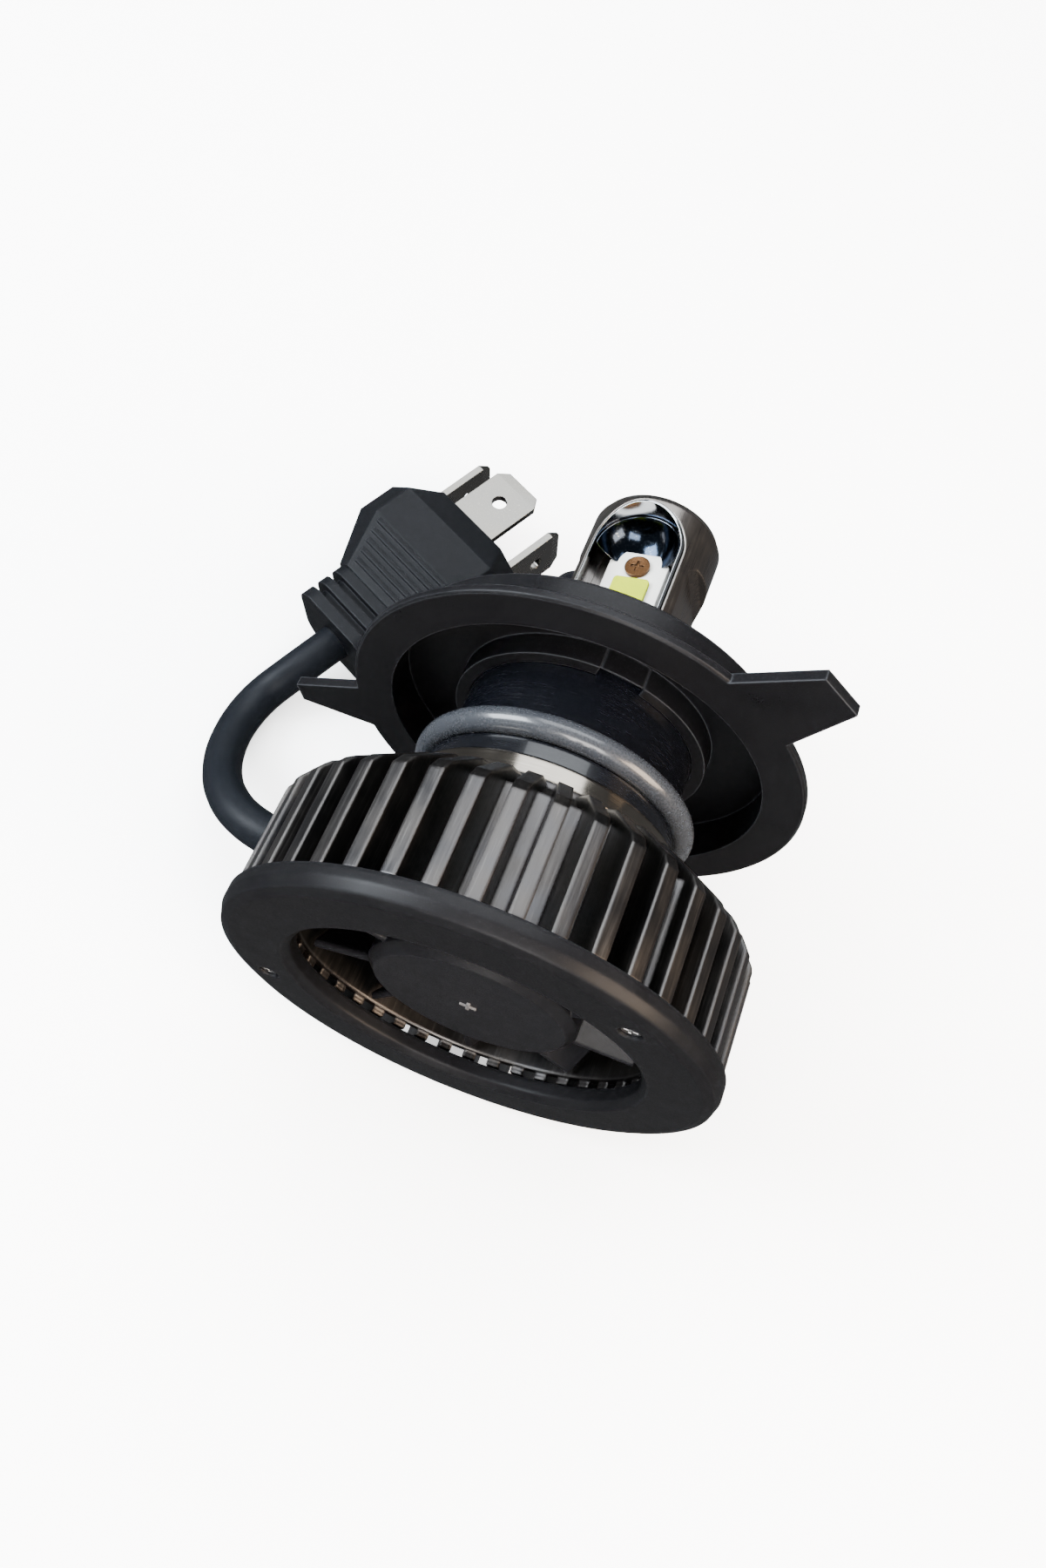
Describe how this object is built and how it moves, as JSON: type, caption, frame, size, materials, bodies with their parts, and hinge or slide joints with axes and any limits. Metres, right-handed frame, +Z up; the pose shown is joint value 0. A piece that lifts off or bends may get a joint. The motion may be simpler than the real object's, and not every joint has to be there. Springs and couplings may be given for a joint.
{
  "type": "headlight bulb",
  "caption": "Fan-cooled LED headlight bulb with a finned heat sink, a keyed turning collar, a two-sided lamp head and a short cable to a bladed plug.",
  "frame": {"origin": "centre of the collar's front face, on the bulb's axis", "axes": "+Y along the bulb towards the lamp head, +Z up as it lies on its side"},
  "size_m": [0.0583, 0.067, 0.0451],
  "materials": {
    "satin_black": "satin",
    "screw_steel": "satin",
    "heat_sink_metal": "satin",
    "fan_plastic": "satin",
    "bearing_brass": "satin",
    "magnet_iron": "matt",
    "copper": "bare",
    "board_green": "matt",
    "polished_metal": "polished",
    "neck_gloss": "gloss",
    "grey_silicone": "matt",
    "satin_black_metal": "satin",
    "head_metal": "satin",
    "board_white": "satin",
    "phosphor_yellow": "satin",
    "screw_bronze": "satin",
    "cable_black": "matt",
    "plug_black": "satin",
    "spade_metal": "bright"
  },
  "bodies": {
    "bulb": {"fan_cover": "satin_black", "fan_cover_screws": "screw_steel", "heat_sink": "heat_sink_metal", "fan_base": "fan_plastic", "fan_bearing": "bearing_brass", "fan_stator": "copper", "fan_circuit_board": "board_green", "neck_ring": "polished_metal", "neck_body": "neck_gloss", "neck_o_ring": "grey_silicone", "lamp_head": "head_metal", "heat_core": "copper", "beam_shield": "neck_gloss", "led_board_upper": "board_white", "led_board_lower": "board_white", "led_strip_upper": "phosphor_yellow", "led_strip_lower": "phosphor_yellow", "led_board_screws": "screw_bronze", "cable_boot": "cable_black", "cable": "cable_black", "plug_tail": "plug_black", "plug_body": "plug_black", "plug_spade_top": "spade_metal", "plug_spade_left": "spade_metal", "plug_spade_right": "spade_metal"},
    "rotor": {"fan_rotor": "fan_plastic", "rotor_magnet": "magnet_iron", "fan_shaft": "screw_steel"},
    "collar": {"collar": "satin_black_metal"}
  },
  "joints": [
    {"name": "fan_spin", "type": "hinge", "parent": "bulb", "child": "rotor", "pos_m": [0, -0.022, 0], "axis": [0, 1, 0], "continuous": true},
    {"name": "collar_turn", "type": "hinge", "parent": "bulb", "child": "collar", "pos_m": [0, 0, 0], "axis": [0, 1, 0], "range_deg": [0, 50]}
  ]
}
